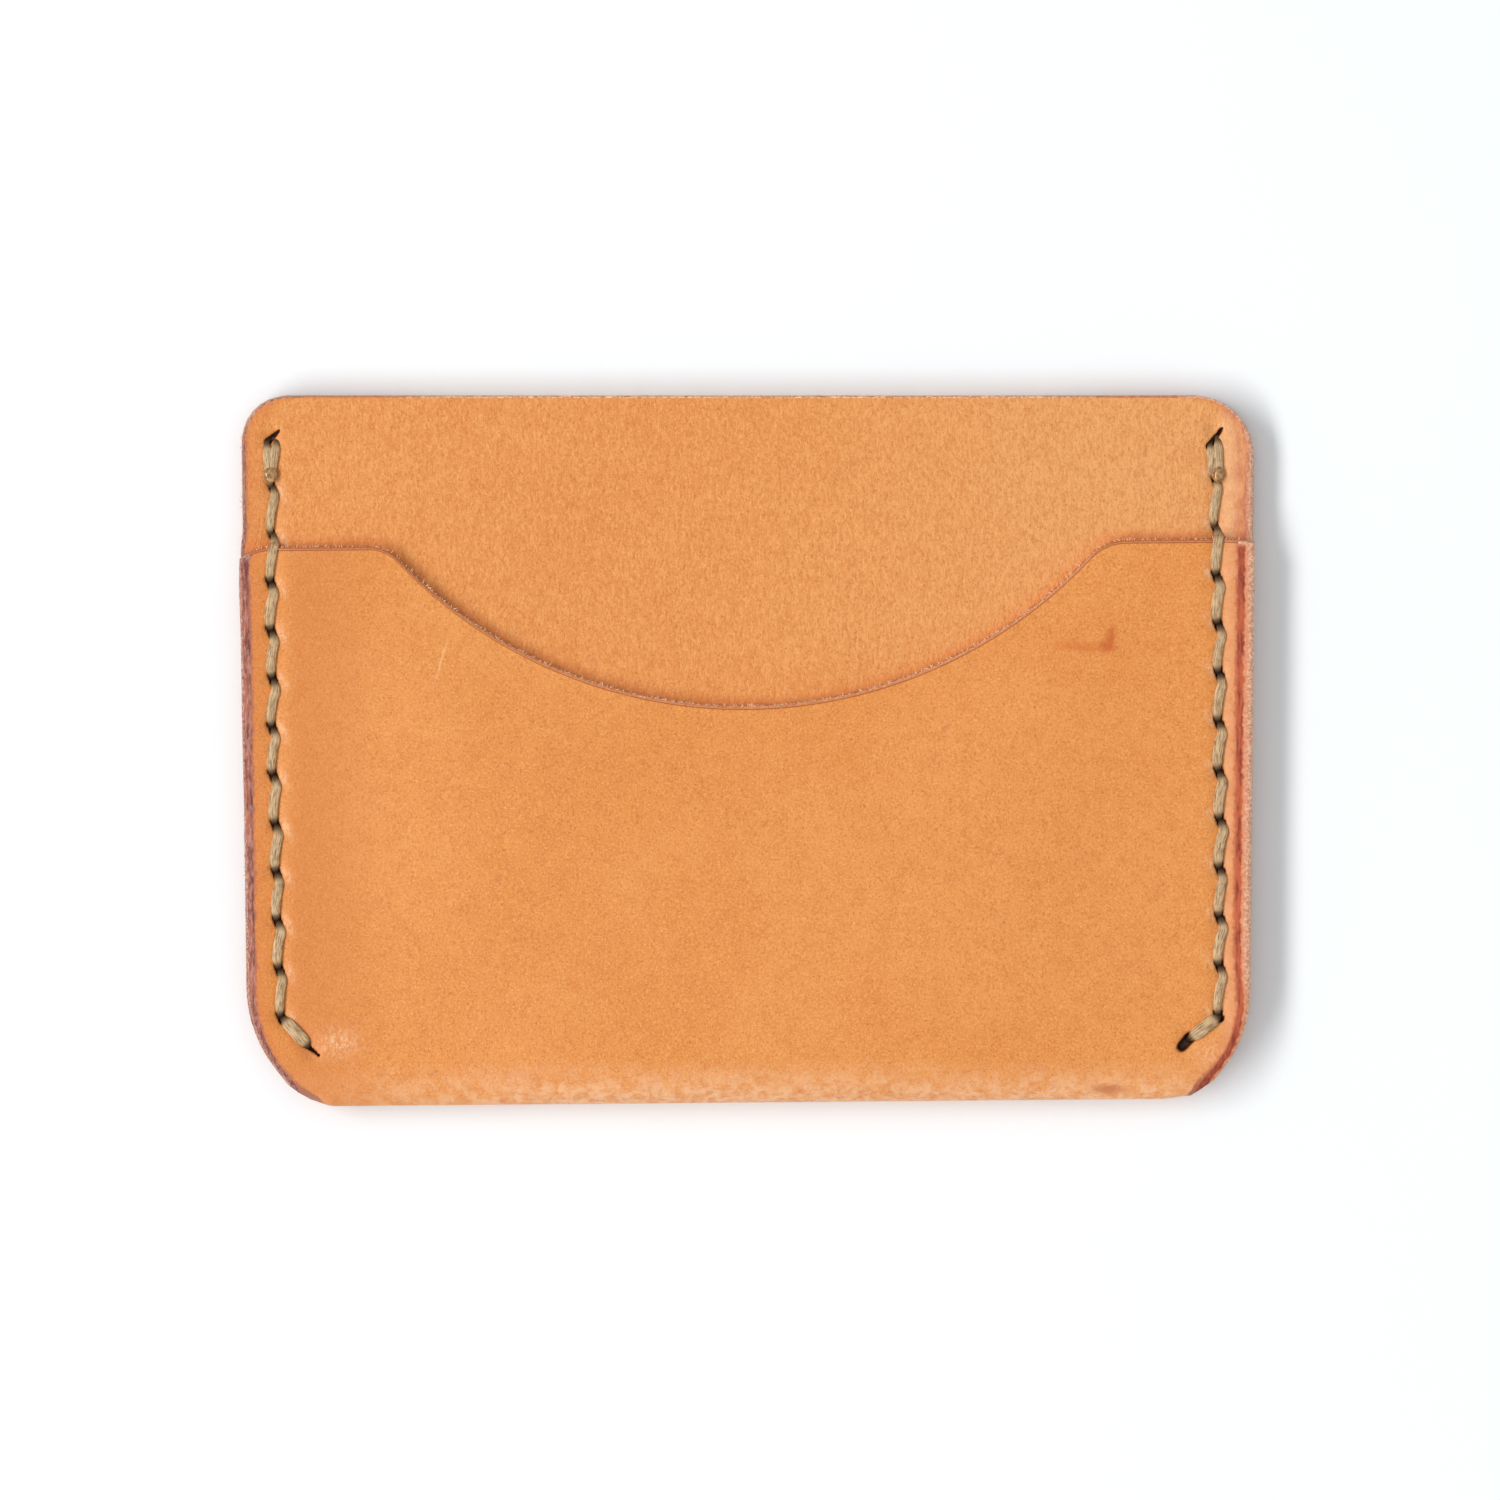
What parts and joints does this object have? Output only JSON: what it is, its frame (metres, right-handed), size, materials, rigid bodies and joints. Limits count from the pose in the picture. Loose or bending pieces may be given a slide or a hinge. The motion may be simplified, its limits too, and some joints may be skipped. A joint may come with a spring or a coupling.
{
  "type": "card holder",
  "caption": "Slim sewn leather card holder: folded wrap and full-height divider, a front card pocket with a thumb scoop and a second pocket open at the top.",
  "frame": {"origin": "middle of the resting back face: centre of the outline, on the lowest plane", "axes": "+X to the right along the width, +Y towards the pocket mouths (the fold is at -Y), +Z out of the front"},
  "size_m": [0.102, 0.0712, 0.0058],
  "materials": {
    "wrap_leather": "natural vegetable-tanned leather, tan, lightly waxed, smooth grain, edges burnished red-brown",
    "divider_leather": "natural vegetable-tanned leather, tan, fine grain with faint upright ripples",
    "waxed_thread": "flat waxed thread, khaki, ends melted to glossy beads"
  },
  "bodies": {
    "root": {"outer_wrap": "wrap_leather", "divider": "divider_leather", "left_seam_thread": "waxed_thread", "right_seam_thread": "waxed_thread"}
  },
  "joints": []
}
